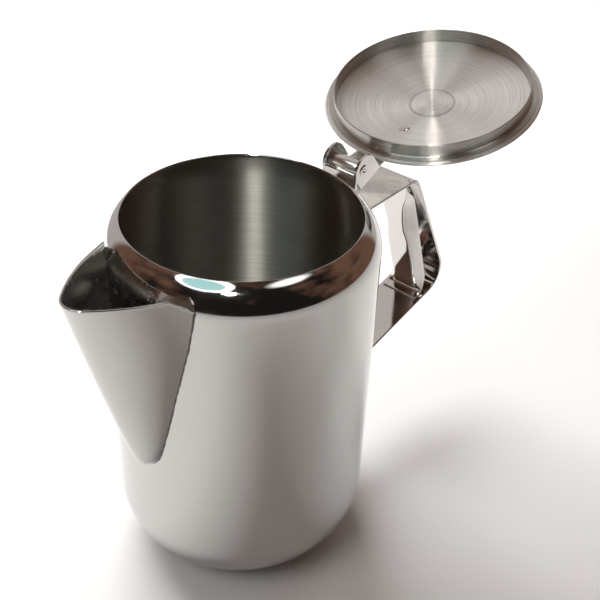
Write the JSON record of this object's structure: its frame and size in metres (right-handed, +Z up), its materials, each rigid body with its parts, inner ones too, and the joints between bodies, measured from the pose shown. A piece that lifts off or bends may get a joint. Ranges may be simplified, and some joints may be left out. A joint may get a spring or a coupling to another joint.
{
  "type": "teapot",
  "caption": "Stainless steel teapot: straight drawn pot with a folded spout over strainer holes, a hollow strap handle and a domed lid on a pin hinge, shown open.",
  "frame": {"origin": "centre of the flat base, on the axis of the pot", "axes": "+Z up along the axis of the pot; the spout points towards -X and the handle and hinge towards +X; +Y is to the left of someone looking from the spout towards the handle"},
  "size_m": [0.2621, 0.108, 0.1819],
  "materials": {
    "polished_steel": "mirror polished stainless steel sheet",
    "satin_steel": "turned and brushed stainless steel"
  },
  "bodies": {
    "pot": {"body_shell": "polished_steel", "spout": "polished_steel", "handle_strap": "polished_steel", "handle_liner": "polished_steel", "hinge_bracket": "polished_steel", "hinge_pin": "satin_steel"},
    "lid": {"lid_cover": "satin_steel", "lid_skirt": "satin_steel", "lid_hinge_leaf": "satin_steel", "lid_knob": "polished_steel"}
  },
  "joints": [
    {"name": "lid_hinge", "type": "hinge", "parent": "pot", "child": "lid", "pos_m": [0.065, 0, 0.1524], "axis": [0, -1, 0], "range_deg": [0, 164.9]}
  ]
}
